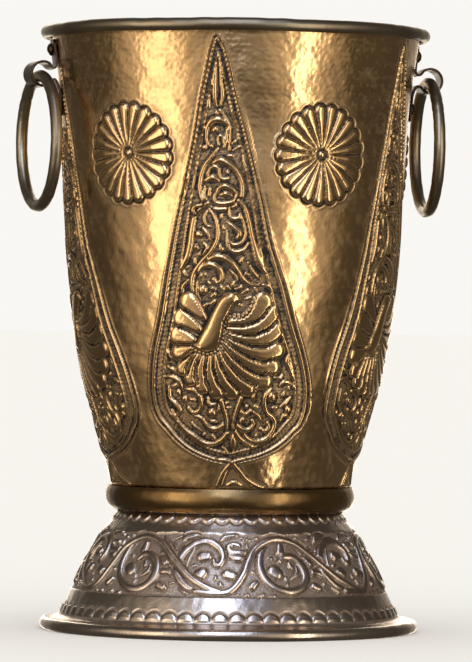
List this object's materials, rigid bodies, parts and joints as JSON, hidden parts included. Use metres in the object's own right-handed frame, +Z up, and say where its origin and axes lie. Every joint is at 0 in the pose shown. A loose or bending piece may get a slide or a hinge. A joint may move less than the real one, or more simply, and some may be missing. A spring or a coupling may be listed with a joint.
{
  "type": "footed brass vessel",
  "caption": "Tall footed vessel of raised sheet brass with embossed panels, a rolled lip, a spreading foot and a swinging ring handle on each side.",
  "frame": {"origin": "centre of the foot's standing edge, on the plane the vessel stands on", "axes": "+Z up along the vessel's axis, +X through the right-hand handle, +Y away from the front panel"},
  "size_m": [0.2108, 0.1944, 0.2999],
  "materials": {
    "beaker_brass": "raised, planished and polished, with dark patina in the chased relief",
    "foot_brass": "satin brown patina, relief rubbed bright",
    "collar_brass": "polished, lightly tarnished",
    "floor_brass": "dull, tarnished",
    "hanger_brass": "dark brown patina with worn edges",
    "rivet_brass": "hammered heads, tarnished",
    "ring_brass": "satin, drawn rod",
    "wire": "plain drawn wire"
  },
  "bodies": {
    "vessel": {"beaker": "beaker_brass", "lip_wire": "wire", "floor_disc": "floor_brass", "collar": "collar_brass", "foot": "foot_brass", "foot_wire": "wire", "hanger_left": "hanger_brass", "rivet_left_upper": "rivet_brass", "rivet_left_lower": "rivet_brass", "hanger_right": "hanger_brass", "rivet_right_upper": "rivet_brass", "rivet_right_lower": "rivet_brass"},
    "ring_left": {"ring_left": "ring_brass"},
    "ring_right": {"ring_right": "ring_brass"}
  },
  "joints": [
    {"name": "ring_left_swing", "type": "hinge", "parent": "vessel", "child": "ring_left", "pos_m": [-0.0981, 0, 0.2744], "axis": [-0.1564, 0.9877, 0], "range_deg": [-7, 173]},
    {"name": "ring_right_swing", "type": "hinge", "parent": "vessel", "child": "ring_right", "pos_m": [0.0981, 0, 0.2744], "axis": [0, -1, 0], "range_deg": [-8, 186]}
  ]
}
